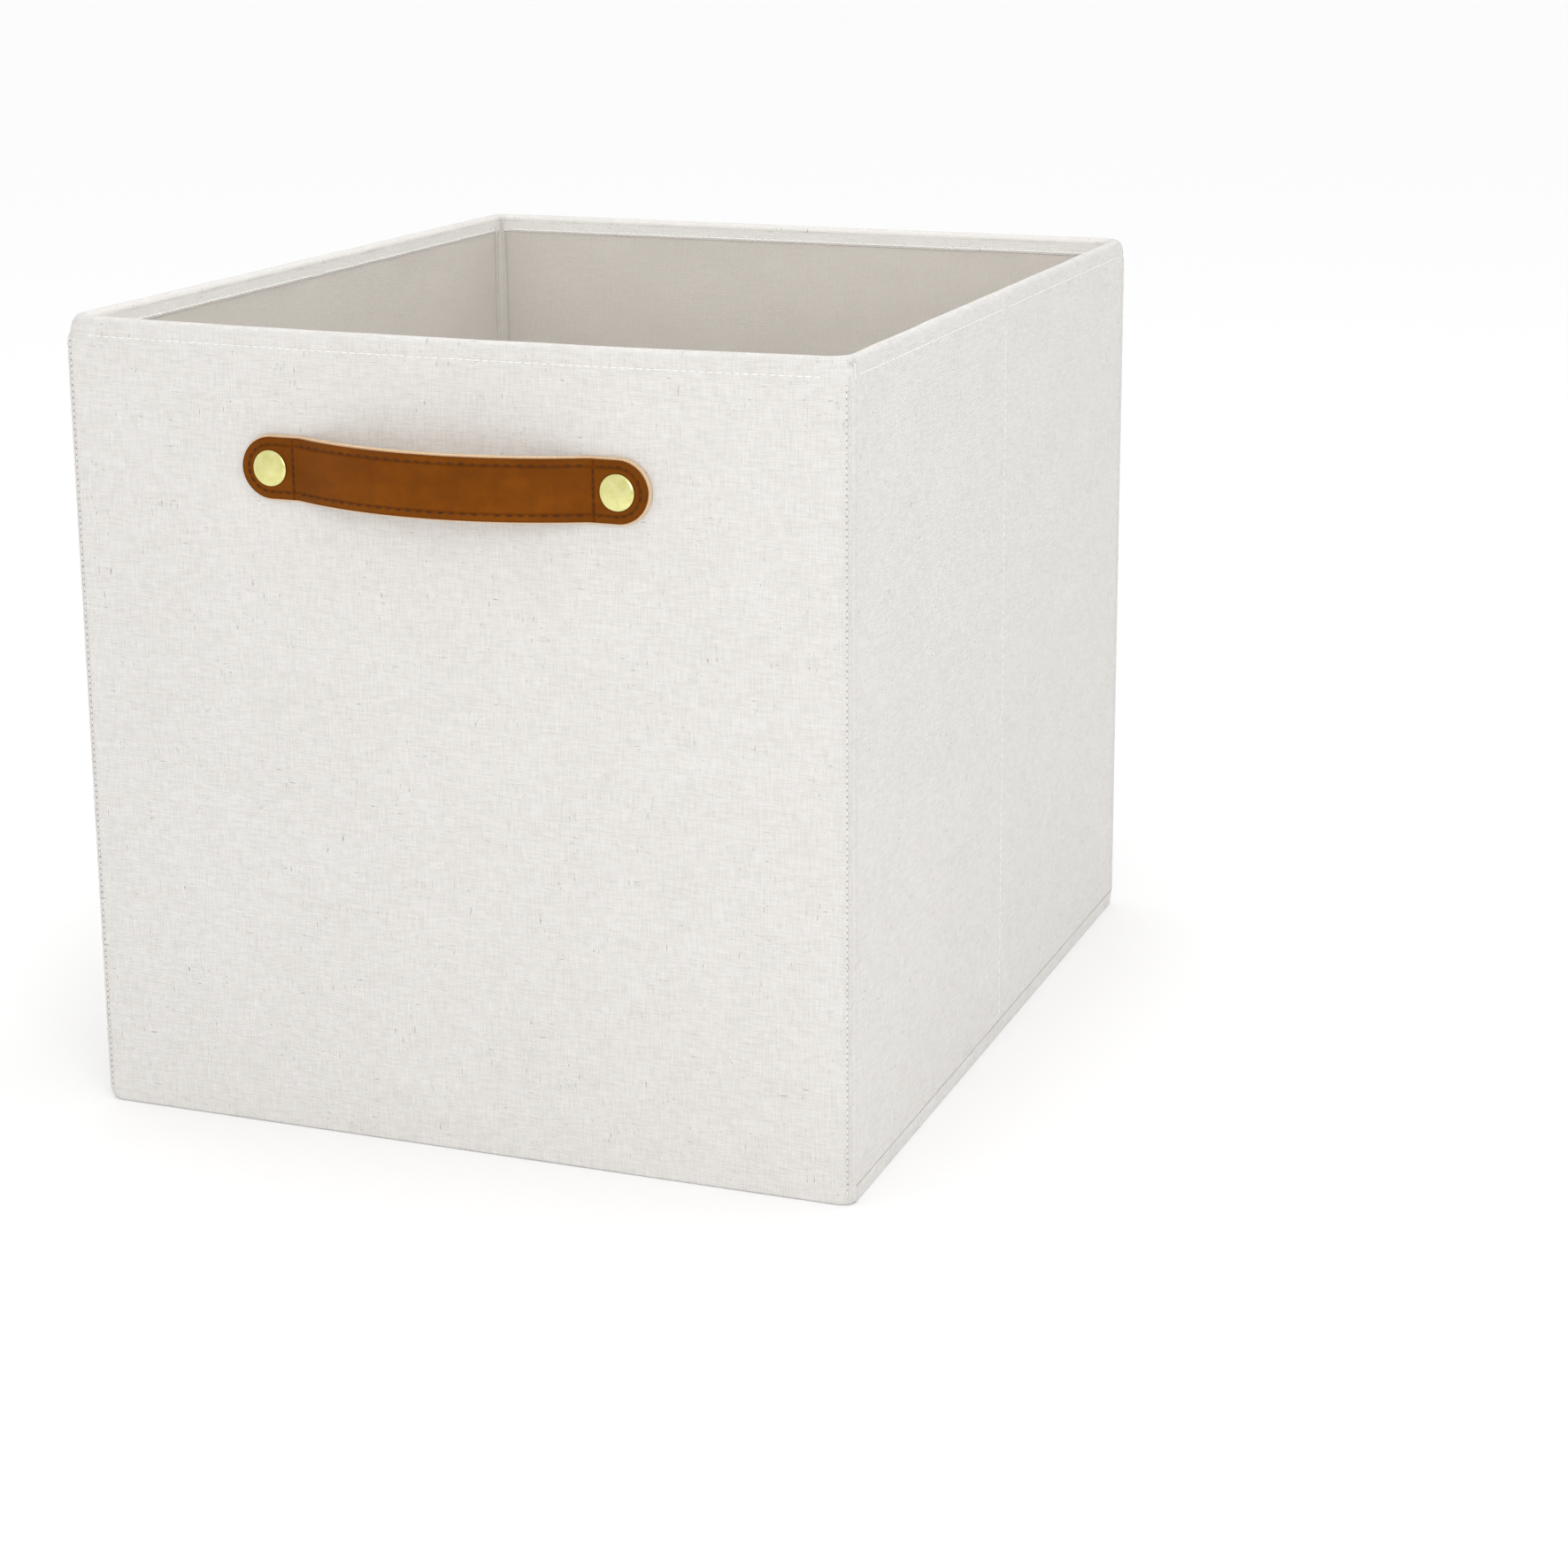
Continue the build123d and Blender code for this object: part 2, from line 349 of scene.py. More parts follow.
def linen_material(name, pale, shade):
    """Off-white plain weave: threads both ways, thick and thin stretches, and dark flecks.

    The third cloth coordinate says where the hem has turned inside, which is painted paler as light
    falling on the hem inside the bin.
    """
    nodes = Nodes(name)
    u, v, inside = nodes.cloth_axes()
    wobble = nodes.noise(u, v, 160, 160, 2, 3.1)
    across = nodes.plus(nodes.over(u, WEAVE_PITCH), nodes.times(wobble, 1.2))
    along = nodes.plus(nodes.over(v, WEAVE_PITCH), nodes.times(wobble, 0.9))
    parity = nodes.plus(nodes.math("FLOOR", across), nodes.math("FLOOR", along))
    over = nodes.math("PINGPONG", parity, 1.0)
    under = nodes.math("SUBTRACT", 1.0, over)
    threads = []
    for place_on, on_top in ((along, over), (across, under)):
        thread = nodes.math("ABSOLUTE", nodes.math("SINE", nodes.times(place_on, math.pi)))
        threads.append(nodes.times(thread, nodes.linear(on_top, 0.6, 0.4)))
    weave = nodes.math("MAXIMUM", *threads)

    weft_tone = nodes.noise(u, v, 170, 1250, 2, 7.7)
    warp_tone = nodes.noise(u, v, 1500, 120, 2, 1.9)
    slub = nodes.plus(weft_tone, warp_tone)
    cloud = nodes.noise(u, v, 40, 40, 3, 5.5)
    tone = nodes.linear(nodes.math("SUBTRACT", slub, 1.0), 0.6, 0.5)
    tone = nodes.plus(tone, nodes.linear(cloud, 0.16, -0.08))
    # the weave's relief also tints the colour, darker between the threads: painted shade of the
    # weave
    tone = nodes.plus(tone, nodes.linear(weave, 0.5, -0.3))
    colour = nodes.mix(nodes.window(tone, -0.15, 1.05), shade, pale)
    # painted light: the hem's inside is mixed towards near white, as if lit inside the bin
    colour = nodes.mix(nodes.times(inside, HEM_PAINTED_LIGHT), colour, rgb(255, 253, 249))

    fleck_h = nodes.window(nodes.noise(u, v, 190, 1150, 2, 11.0), 0.665, 0.74)
    fleck_v = nodes.window(nodes.noise(u, v, 1150, 210, 2, 17.0), 0.655, 0.73)
    sparse = nodes.window(nodes.noise(u, v, 70, 70, 2, 23.0), 0.44, 0.66)
    fleck = nodes.times(nodes.math("MAXIMUM", fleck_h, fleck_v),
                       nodes.linear(sparse, 0.6, 0.12))
    nodes.shade({
        "Base Color": nodes.mix(fleck, colour, rgb(128, 120, 112)),
        "Roughness": 0.92,
        "Specular IOR Level": 0.25,
        "Sheen Weight": 0.12,
        "Sheen Roughness": 0.5,
    })
    nodes.bump(nodes.linear(slub, 0.8, weave), 0.16 * MM, 0.8)
    return nodes.material


def lining_material():
    """Grey-taupe non-woven: point bonds in diagonal rows, and loose fibres."""
    nodes = Nodes("lining_nonwoven")
    u, v, _ = nodes.cloth_axes()
    lean = nodes.times(v, BOND_SLOPE)
    rise = nodes.over(nodes.plus(u, lean), BOND_PITCH)
    fall = nodes.over(nodes.math("SUBTRACT", u, lean), BOND_PITCH)
    wave_a = nodes.math("SINE", nodes.times(rise, math.tau))
    wave_b = nodes.math("SINE", nodes.times(fall, math.tau))
    dimple = nodes.window(nodes.times(wave_a, wave_b), 0.25, 0.8)
    fibre_a = nodes.noise(rise, fall, 0.35, 3.4, 2, 2.0)
    fibre_b = nodes.noise(rise, fall, 3.1, 0.3, 2, 9.0)
    fibre = nodes.times(nodes.plus(fibre_a, fibre_b), 0.5)
    cloud = nodes.noise(u, v, 22, 22, 3, 4.0)
    tone = nodes.linear(fibre, 0.8, nodes.linear(cloud, 0.25, -0.07))
    tone = nodes.math("SUBTRACT", tone, nodes.times(dimple, 0.35))
    nodes.shade({
        "Base Color": nodes.mix(nodes.window(tone, -0.1, 0.9),
                                rgb(197, 192, 184), rgb(233, 228, 221)),
        "Roughness": 0.85,
        "Sheen Weight": 0.15,
        "Sheen Roughness": 0.4,
    })
    nodes.bump(nodes.math("SUBTRACT", nodes.times(fibre, 0.7), dimple), 0.12 * MM, 0.8)
    return nodes.material


def leather_material():
    """Waxed tan leather-look: mottled colour, fine pores and soft creases.

    The third cloth coordinate says how deep in a sewn groove a point lies, which is painted darker
    as shade in the groove.
    """
    nodes = Nodes("strap_leather")
    u, v, groove = nodes.cloth_axes()
    cloud = nodes.noise(u, v, 42, 60, 4, 6.0)
    mottle = nodes.noise(u, v, 190, 220, 3, 12.0)
    grain = nodes.add("ShaderNodeCombineXYZ", {"X": u, "Y": v, "Z": 0.0}).outputs[0]
    cells = nodes.add("ShaderNodeTexVoronoi", {"Vector": grain, "Scale": PORES_PER_M}, feature="F1")
    pores = cells.outputs["Distance"]
    tone = nodes.linear(cloud, 0.8, -0.06)
    tone = nodes.plus(tone, nodes.linear(mottle, 0.3, -0.15))
    colour = nodes.mix(nodes.window(tone, 0.0, 0.85), rgb(98, 50, 3), rgb(133, 72, 8))
    dark_pore = nodes.window(pores, 0.25, 0.0)
    colour = nodes.mix(nodes.times(dark_pore, 0.18), colour, rgb(70, 36, 14))
    crease = nodes.noise(u, v, 420, 90, 3, 21.0)
    nodes.shade({
        # painted shade: the sewn grooves are darkened towards deep brown
        "Base Color": nodes.mix(nodes.times(groove, 0.35), colour, rgb(62, 28, 4)),
        "Roughness": nodes.linear(mottle, 0.25, 0.46),
        "Specular IOR Level": 0.06,
    })
    nodes.bump(nodes.plus(pores, nodes.times(crease, 0.8)), 0.10 * MM, 0.7)
    return nodes.material


def backing_material():
    """Pale tan backing with a fibrous cut edge."""
    nodes = Nodes("strap_backing")
    u, v, _ = nodes.cloth_axes()
    fibre = nodes.noise(u, v, 900, 350, 3, 2.0)
    cloud = nodes.noise(u, v, 60, 60, 2, 8.0)
    tone = nodes.linear(fibre, 0.6, nodes.times(cloud, 0.4))
    nodes.shade({
        "Base Color": nodes.mix(nodes.window(tone, 0.25, 0.8),
                                rgb(209, 172, 129), rgb(239, 215, 182)),
        "Roughness": 0.8,
    })
    nodes.bump(fibre, 0.15 * MM, 0.7)
    return nodes.material


def thread_material(name, dark, light, sheen):
    """Twisted sewing thread, its light colour laid along the twist as a painted highlight, golden
    on the strap's dark thread.
    """
    nodes = Nodes(name)
    u, v, _ = nodes.cloth_axes()
    turn = nodes.plus(u, nodes.times(v, 0.5))
    twist = nodes.math("SINE", nodes.times(turn, math.tau / TWIST_PITCH))
    patchy = nodes.noise(u, v, 300, 300, 2, 1.0)
    # the light colour follows the twist's ridges: painted highlight
    share = nodes.window(nodes.linear(twist, 0.3, patchy), 0.1, 1.0)
    nodes.shade({
        "Base Color": nodes.mix(share, dark, light),
        "Roughness": 0.6,
        "Specular IOR Level": 0.2,
        "Sheen Weight": sheen,
    })
    nodes.bump(twist, 0.06 * MM, 0.6)
    return nodes.material


def metal_material():
    """Polished pale gold: darker and paler patches of faint handling marks and painted uneven
    reflection.
    """
    nodes = Nodes("rivet_gold")
    marks_and_reflection = nodes.solid_noise(260.0, 3.0)
    # the base colour swings between darker and paler gold: handling marks and painted reflection
    nodes.shade({
        "Base Color": nodes.mix(marks_and_reflection, rgb(201, 195, 109), rgb(240, 238, 179)),
        "Roughness": nodes.linear(marks_and_reflection, 0.14, 0.1),
        "Metallic": 1.0,
    })
    nodes.bump(marks_and_reflection, 0.12 * MM, 0.5)
    return nodes.material


def board_material():
    """Grey-brown fibreboard, seen only where layers end."""
    nodes = Nodes("fibreboard")
    chips = nodes.solid_noise(420.0, 4.0)
    nodes.shade({
        "Base Color": nodes.mix(chips, rgb(118, 98, 74), rgb(176, 152, 120)),
        "Roughness": 0.85,
    })
    nodes.bump(chips, 0.2 * MM, 0.6)
    return nodes.material


def floor_material():
    nodes = Nodes("pale_floor")
    nodes.shade({"Base Color": (0.97, 0.97, 0.97, 1), "Roughness": 0.9})
    return nodes.material


LINEN = linen_material("linen_outer", rgb(234, 232, 229), rgb(196, 192, 187))
LINING = lining_material()
LEATHER = leather_material()
BACKING = backing_material()
PALE_THREAD = thread_material("thread_pale", rgb(236, 233, 228), rgb(252, 251, 249), 0.2)
# short grey threads that paint the shade in the needle holes between pale stitches
HOLE_SHADE = thread_material("painted_hole_shade", rgb(150, 143, 134), rgb(176, 170, 162), 0.0)
# its light colour is a painted golden highlight on the twist
DARK_THREAD = thread_material("thread_dark", rgb(26, 11, 3), rgb(112, 62, 18), 0.0)
GOLD = metal_material()
BOARD = board_material()


# ---- walls: each is drawn standing on y = 0 with its inside towards +y, then put in its place ----

PLACES = {
    "front": (0, Vector((0, -HALF_D))),
    "back": (math.pi, Vector((0, HALF_D))),
    "left": (-math.pi / 2, Vector((-HALF_W, 0))),
    "right": (math.pi / 2, Vector((HALF_W, 0))),
}


def place(points, wall):
    """Turns a wall's own points to where the wall stands."""
    turn, shift = PLACES[wall]
    c, s = math.cos(turn), math.sin(turn)
    x, y = points[:, 0], points[:, 1]
    return np.column_stack([x * c - y * s + shift.x, x * s + y * c + shift.y, points[:, 2]])


def corner_radius(z):
    """The bin's upright corners are tight, and wider at the rim and the foot."""
    rim = np.clip((z - TOP + RIM_RISE) / RIM_RISE, 0, 1)
    foot = smooth_step((FOOT_RISE - z) / FOOT_RISE)
    return CORNER_R + (RIM_CORNER_R - CORNER_R) * rim + (FOOT_CORNER_R - CORNER_R) * foot


def round_corners(points):
    """Rounds the bin's upright corners. A point keeps its depth behind the outer face."""
    r = corner_radius(points[:, 2])
    side, end = np.sign(points[:, 0]), np.sign(points[:, 1])
    dx, dy = HALF_W - np.abs(points[:, 0]), HALF_D - np.abs(points[:, 1])
    depth = np.minimum(dx, dy)
    near = (dx < r) & (dy < r) & (depth < r - 1e-6)
    run = np.where(near, r - depth, 1.0)
    share = np.where(dy <= dx, (r - dx) / (2 * run), 1 - (r - dy) / (2 * run))
    angle = share * math.pi / 2
    new_dx, new_dy = r - run * np.sin(angle), r - run * np.cos(angle)
    out = points.copy()
    out[:, 0] = np.where(near, side * (HALF_W - new_dx), points[:, 0])
    out[:, 1] = np.where(near, end * (HALF_D - new_dy), points[:, 1])
    return out


def sag_front(points):
    """The front wall's top sags a little between its corners."""
    in_front = points[:, 1] < -HALF_D + WALL_T + 0.2 * MM
    across = np.clip(1 - (points[:, 0] / HALF_W) ** 2, 0, 1)
    up = smooth_step((points[:, 2] - TOP + FRONT_SAG_REACH) / FRONT_SAG_REACH)
    out = points.copy()
    out[:, 2] -= np.where(in_front, FRONT_SAG * across * up, 0)
    return out


def settle(points, wall):
    """A wall's own points, placed and with the bin's corners rounded."""
    return round_corners(sag_front(place(points, wall)))


def rim_height(depth):
    """How high the rounded rim is at that depth behind the outer face."""
    from_middle = np.clip((depth - RIM_R) / RIM_R, -1, 1)
    return TOP - RIM_R + RIM_R * np.sqrt(1 - from_middle**2)


def outer_relief(x, z, seed, half, crease):
    """How far the outer cloth stands behind its flat face: seams, puckers and soft waves."""
    soft = 0.16 * MM * ripple(x, z, 90 * MM, seed) + 0.07 * MM * ripple(x, z, 22 * MM, seed + 50)
    stitch = np.abs(z - (TOP - HEM_STITCH_DROP))
    groove = 0.24 * MM * bell(stitch, 1.2 * MM)
    pucker = 0.16 * MM * ripple(x, z * 0.2, 6 * MM, seed + 90) * bell(stitch, 5 * MM)
    hem_puff = -0.25 * MM * bell(z - TOP + 5 * MM, 3 * MM)
    edge = half - np.abs(x)
    inner = smooth_step(edge / (4 * MM))
    ridge = -0.3 * MM * bell(edge, 0.7 * MM)
    line = 0.0
    if crease:
        line = 0.35 * MM * bell(x, 0.5 * MM) - 0.30 * MM * bell(x, 2.2 * MM)
    return CLOTH_DEPTH + (soft + pucker) * inner + groove + hem_puff + ridge + line


def ease_edge(distance, depth):
    """Pushes points near an outer edge in to that depth, without folding them over."""
    return np.where(distance < EASE, depth + distance * (1 - depth / EASE), distance)


def cloth_rows(points, cloth_v, rows):
    """Adds rows to a wall's grid, and how far up the cloth each one lies."""
    for row in rows:
        if points:
            middle = row.shape[0] // 2
            cloth_v.append(cloth_v[-1] + float(np.linalg.norm(row[middle] - points[-1][middle])))
        else:
            cloth_v.append(0.0)
        points.append(row)


def wall_cloth(wall, half, bottom, seed, wraps, crease):
    """A wall's outer fabric: up the outside, over the rim and down inside as the hem."""
    fine = [(s * (half - 3 * MM), 3 * MM, 0.45 * MM) for s in (-1, 1)]
    if crease:
        fine.append((0, 4 * MM, 0.4 * MM))
    x = spread(-half, half, 3 * MM, *fine)
    foot = bottom + FOOT_TURN
    z = spread(foot, TOP - RIM_R, 3 * MM,
               (TOP - HEM_STITCH_DROP, 3 * MM, 0.4 * MM), (foot + 1 * MM, 1 * MM, 0.5 * MM))
    under = [(3.2 * MM, bottom), (2.2 * MM, bottom)]
    for a in np.linspace(0, math.pi / 2, 5)[:-1]:
        under.append((FOOT_TURN * (1 - math.sin(a)) + CLOTH_DEPTH,
                      bottom + FOOT_TURN * (1 - math.cos(a))))
    over = np.array([RIM_R * (1 - math.cos(a)) for a in np.linspace(0, math.pi, 15)])
    down = np.linspace(TOP - RIM_R, TOP - HEM_DROP, 12)[1:]

    def row(depth, height, inset):
        across = np.abs(x)
        if wraps:
            across = half - ease_edge(half - across, inset)
        return np.column_stack([np.sign(x) * across, depth + 0 * x, height + 0 * x])

    points, cloth_v = [], []
    cloth_rows(points, cloth_v, [row(y, height, CLOTH_DEPTH) for y, height in under])
    relief = [outer_relief(x, height, seed, half, crease) for height in z]
    cloth_rows(points, cloth_v, [row(depth, height, depth) for depth, height in zip(relief, z)])
    first_rim = len(points)
    rim = []
    face_depth = points[-1][:, 1]
    for y in over[1:]:
        depth = face_depth + (WALL_T - face_depth) * y / WALL_T
        from_face = np.minimum(y, half - np.abs(x)) if wraps else y
        height = rim_height(from_face) + 0.12 * MM * ripple(x, 0, 40 * MM, seed + 7)
        rim.append(row(depth, height, face_depth))
    cloth_rows(points, cloth_v, rim)
    inside = []
    for height in down:
        y = WALL_T - 0.12 * MM * (1 + ripple(x, height, 30 * MM, seed + 9))
        inside.append(row(y, height, face_depth))
    cloth_rows(points, cloth_v, inside)
    points, v = np.array(points), np.array(cloth_v)
    # the third cloth coordinate rises over the rim; the linen paints the hem inside paler with it,
    # as painted light
    past_top = 2 * (np.arange(len(points)) - first_rim + 1) / len(rim) - 1
    patch = Patch()
    patch.grid(points, stack(x, v[:, None], smooth_step(past_top)[:, None]))
    if wraps:
        rows = slice(len(under), first_rim)
        for column, end in ((0, -1), (-1, 1)):
            edge_x, edge_y, edge_z = points[rows, column].T[:, :, None]
            wrap = stack(edge_x, edge_y + (WALL_T - edge_y) * (over / WALL_T), edge_z)
            wrap[-1, :, 2] = points[first_rim - 1:first_rim + len(rim), column, 2]
            patch.grid(wrap, stack(end * (half + over), v[rows, None]), flip=end < 0)
    cloth = make_object(f"{wall}_outer_cloth", patch, LINEN, settle(patch.array(), wall), 1e-6, 60)
    return thicken(cloth, CLOTH_T)


def wall_lining(wall, half, bottom, seed, crease):
    """A wall's lining, from the base up under the hem."""
    x = spread(-half, half, 4 * MM, (0, 4 * MM, 0.5 * MM))
    z = spread(bottom, TOP - HEM_DROP + LINING_TUCK, 4 * MM, (TOP - HEM_DROP, 3 * MM, 0.6 * MM))
    xs, zs = np.meshgrid(x, z)
    edge = np.minimum(half - np.abs(xs), 12 * MM) / (12 * MM)
    loose = 0.22 * MM * ripple(xs, zs, 60 * MM, seed) + 0.1 * MM * ripple(xs, zs, 17 * MM, seed + 3)
    below_hem = np.clip((TOP - HEM_DROP - zs) / (6 * MM), 0, 1)
    rise = 0.4 * MM * np.exp(-np.maximum(TOP - HEM_DROP - zs, 0) / (9 * MM))
    line = 0.0
    if crease:
        line = 0.35 * MM * bell(xs, 2.4 * MM) - 0.6 * MM * bell(xs, 0.8 * MM)
    y = LINING_FACE + 0.25 * MM + (loose * edge + line) * below_hem + rise
    patch = Patch()
    patch.grid(stack(xs, y, zs), stack(xs, zs), flip=True)
    lining = make_object(f"{wall}_lining_cloth", patch, LINING, settle(patch.array(), wall))
    return thicken(lining, LINING_T)


def path_lengths(path):
    """How far along a path each of its points lies."""
    return np.concatenate([[0], np.cumsum(np.linalg.norm(np.diff(path, axis=0), axis=1))])


def stitch(patch, start, end, out, radius, lift):
    """One stitch: a thread that comes out of the cloth at start and goes back in at end."""
    start, end, out = (np.array(v, float) for v in (start, end, out))
    along = end - start
    length = np.linalg.norm(along)
    along /= length
    across = np.cross(along, out)
    across /= np.linalg.norm(across)
    steps = np.linspace(0, 1, 7)
    angles = np.linspace(0, math.tau, 7)[:-1]
    ring = np.cos(angles)[:, None] * across + np.sin(angles)[:, None] * out
    rings = []
    for t in steps:
        swell = radius * (0.55 + 0.45 * math.sin(math.pi * t))
        height = lift * math.sin(math.pi * t) ** 0.6 - radius * 0.7
        rings.append(start + along * length * t + out * height + swell * ring)
    cloth = stack((length * steps + start[0] + start[2])[:, None], radius * angles)
    patch.tube(np.array(rings), cloth, flip=True)


def stitch_run(patch, path, out, length, gap, radius, lift, seed):
    """A row of stitches along a straight or curved path, slightly uneven."""
    rng = np.random.default_rng(seed)
    path = np.array(path, float)
    at = path_lengths(path)
    out = np.broadcast_to(np.array(out, float), path.shape)
    where = 0.0
    while where + length < at[-1]:
        ends = [where, where + length * rng.uniform(0.92, 1.05)]
        points = [np.array([np.interp(e, at, path[:, k]) for k in range(3)]) for e in ends]
        normal = np.array([np.interp(sum(ends) / 2, at, out[:, k]) for k in range(3)])
        jitter = rng.normal(0, 0.05 * MM, 3)
        stitch(patch, points[0] + jitter, points[1] - jitter, normal, radius, lift)
        where += length + gap


def hem_stitches(name, wall, low, high, body, seed, face):
    """The hem's sewing, on both sides of the wall, between two places along it.

    face is the seed, half width and crease that the wall's cloth was drawn with.
    """
    low, high = low + 1.5 * MM, high - 1.5 * MM
    z = TOP - HEM_STITCH_DROP
    outside = np.linspace(low, high, 240)
    inside = np.linspace(low + 1.2 * MM, high, 240)
    patch = Patch()
    for x, y, out in ((outside, outer_relief(outside, z, *face), -1), (inside, WALL_T, 1)):
        path = stack(x, y, z)
        stitch_run(patch, path, (0, out, 0), 3.1 * MM, 0.35 * MM, 0.3 * MM, 0.30 * MM, seed)
    obj = make_object(name, patch, PALE_THREAD, settle(patch.array(), wall))
    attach(obj, body)
    return obj


def edge_welts(wall, bottom, seed):
    """The raised fold of cloth along both upright edges of an end wall, its sewing, and short grey
    threads between the stitches that paint the shade in the needle holes.
    """
    welt, sewing, hole_shade_patch = Patch(), Patch(), Patch()
    angles = np.linspace(0, math.tau, 9)[:-1]
    z = spread(bottom + 1.5 * MM, TOP - RIM_RISE * 0.75, 1.6 * MM)
    tuck = corner_radius(z) * (1 - math.sqrt(0.5)) + 0.1 * MM
    for side in (-1, 1):
        swell = WELT_R * (1 + 0.12 * ripple(z, 0, 5 * MM, seed + side))[:, None]
        x = side * (HALF_W - tuck)[:, None] + swell * np.cos(angles)
        y = tuck[:, None] + swell * np.sin(angles)
        welt.tube(stack(x, y, z[:, None]), stack(side + WELT_R * angles, z[:, None]))
        x = side * (HALF_W - 1.9 * MM)
        # the second run lays grey pieces in the stitches' gaps: painted shade of the needle holes
        for patch, start, length, gap, radius in ((sewing, 0, 1.6, 0.9, 0.19),
                                                  (hole_shade_patch, 1.75, 0.6, 1.9, 0.2)):
            path = [(x, 0.22 * MM, z[0] + 3 * MM + start * MM), (x, 0.22 * MM, z[-1] - 2 * MM)]
            stitch_run(patch, path, (0, -1, 0), length * MM, gap * MM, radius * MM, 0.16 * MM,
                       seed + side)
    pieces = []
    for kind, patch, material in (("welt", welt, LINEN), ("edge_stitches", sewing, PALE_THREAD),
                                  ("painted_hole_shadows", hole_shade_patch, HOLE_SHADE)):
        obj = make_object(f"{wall}_{kind}", patch, material, sag_front(place(patch.array(), wall)))
        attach(obj, wall)
        pieces.append(obj)
    return pieces


def end_wall(wall, bottom, seed):
    """The front or back wall, which moves as one piece."""
    cloth = wall_cloth(wall, HALF_W, bottom, seed, True, False)
    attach(cloth, wall)
    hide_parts(f"{wall}_fabric")
    lining = wall_lining(wall, HALF_W - WALL_T - 0.2 * MM, max(bottom, 1.5 * MM), seed + 20, False)
    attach(lining, wall)
    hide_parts(f"{wall}_lining")
    hem = hem_stitches(f"{wall}_hem_stitches", wall, -HALF_W + 8 * MM, HALF_W - 8 * MM, wall, seed,
                       (seed, HALF_W, False))
    edges = edge_welts(wall, bottom, seed + 40)


def side_wall(wall, seed):
    """A side wall: cloth and lining run on across the crease."""
    half = HALF_D - WALL_T - SIDE_END_GAP
    parts = (f"{wall}_front", f"{wall}_back")
    cloth = wall_cloth(wall, half, SIDE_BOTTOM, seed, False, True)
    lining = wall_lining(wall, half - 0.2 * MM, SIDE_BOTTOM, seed + 20, True)
    for obj, slot, kind in ((cloth, "linen_fabric", "fabric"), (lining, "lining", "lining")):
        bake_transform(obj)
        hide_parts(*(f"{part}_{kind}" for part in parts))
    for part, end in zip(parts, (-1, 1)):
        along = end * (1 if wall == "right" else -1)
        low, high = sorted((along * 2 * MM, along * (half - 4 * MM)))
        hem_stitches(f"{part}_hem_stitches", wall, low, high, part, seed + end,
                                 (seed, half, True))


def crease_line(wall, seed):
    """The sewn fold line of a side wall."""
    patch = Patch()
    path = [(0, 0.42 * MM, SIDE_BOTTOM + 3 * MM), (0, 0.42 * MM, TOP - 11 * MM)]
    stitch_run(patch, path, (0, -1, 0), 3.0 * MM, 0.7 * MM, THREAD_R, 0.3 * MM, seed)
    obj = make_object(f"{wall}_crease_thread", patch, PALE_THREAD, settle(patch.array(), wall))
    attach(obj, f"{wall}_front")
    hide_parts(f"{wall}_crease_stitching")


def corner_name(end, side):
    return f"{'front' if end < 0 else 'back'}_{'left' if side < 0 else 'right'}"


def corner_gusset(end, side):
    """The strip of outer cloth that joins two walls at a corner."""
    z = spread(SIDE_BOTTOM + 1 * MM, TOP - 4 * MM, 6 * MM)[:, None]
    reach = np.linspace(WALL_T - 0.6 * MM, WALL_T + SIDE_END_GAP + 0.9 * MM, 17)
    patch = Patch()
    patch.grid(stack(side * (HALF_W - 1.3 * MM), end * (HALF_D - reach), z),
               stack((reach - WALL_T) * 6, z), flip=end * side > 0)
    points = round_corners(patch.array())
    obj = make_object(f"{corner_name(end, side)}_gusset", patch, LINEN, points)
    thicken(obj, GUSSET_T)
    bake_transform(obj)


def corner_tongue(end, side, body):
    """The same strip at the corner that closes the loop of walls: a fixed bow behind both."""
    radius = FOLD_INSET - 1.5 * MM
    angles = np.radians(np.linspace(-16, 84, 18))
    z = spread(SIDE_BOTTOM + 1 * MM, TOP - 5 * MM, 6 * MM)[:, None]
    x = side * (HALF_W - FOLD_INSET + radius * np.cos(angles))
    y = end * (HALF_D - FOLD_INSET - radius * np.sin(angles))
    patch = Patch()
    patch.grid(stack(x, y, z), stack(radius * angles, z), flip=end * side > 0)
    obj = make_object(f"{corner_name(end, side)}_gusset", patch, LINEN)
    thicken(obj, GUSSET_T)
    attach(obj, body)


def corner_binding(end, side, body):
    """The lining's seam inside a corner: a hollow curve that meets both walls' linings."""
    node = f"{corner_name(end, side)}_seam"
    base = LINING_FACE + 0.1 * MM
    reach = WALL_T - base + COVE_REACH
    angles = np.linspace(0, math.pi / 2, 7)
    curve = [(reach * (1 - math.sin(a)), reach * (1 - math.cos(a))) for a in angles]
    outline = np.array(curve + [(reach, -COVE_BURY), (-COVE_BURY, -COVE_BURY), (-COVE_BURY, reach)])
    z = spread(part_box(node)[0].z, TOP - COVE_DROP, 2.5 * MM)[:, None]
    soft = 1 + 0.04 * ripple(z, 0, 30 * MM, 31 + end + 3 * side)
    x = side * (HALF_W - base - outline[:, 0] * soft)
    y = end * (HALF_D - base - outline[:, 1] * soft)
    patch = Patch()
    patch.tube(stack(x, y, z), stack(path_lengths(outline), z), flip=end * side > 0)
    obj = make_object(f"{corner_name(end, side)}_binding", patch, LINING)
    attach(obj, body)
    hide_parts(node)


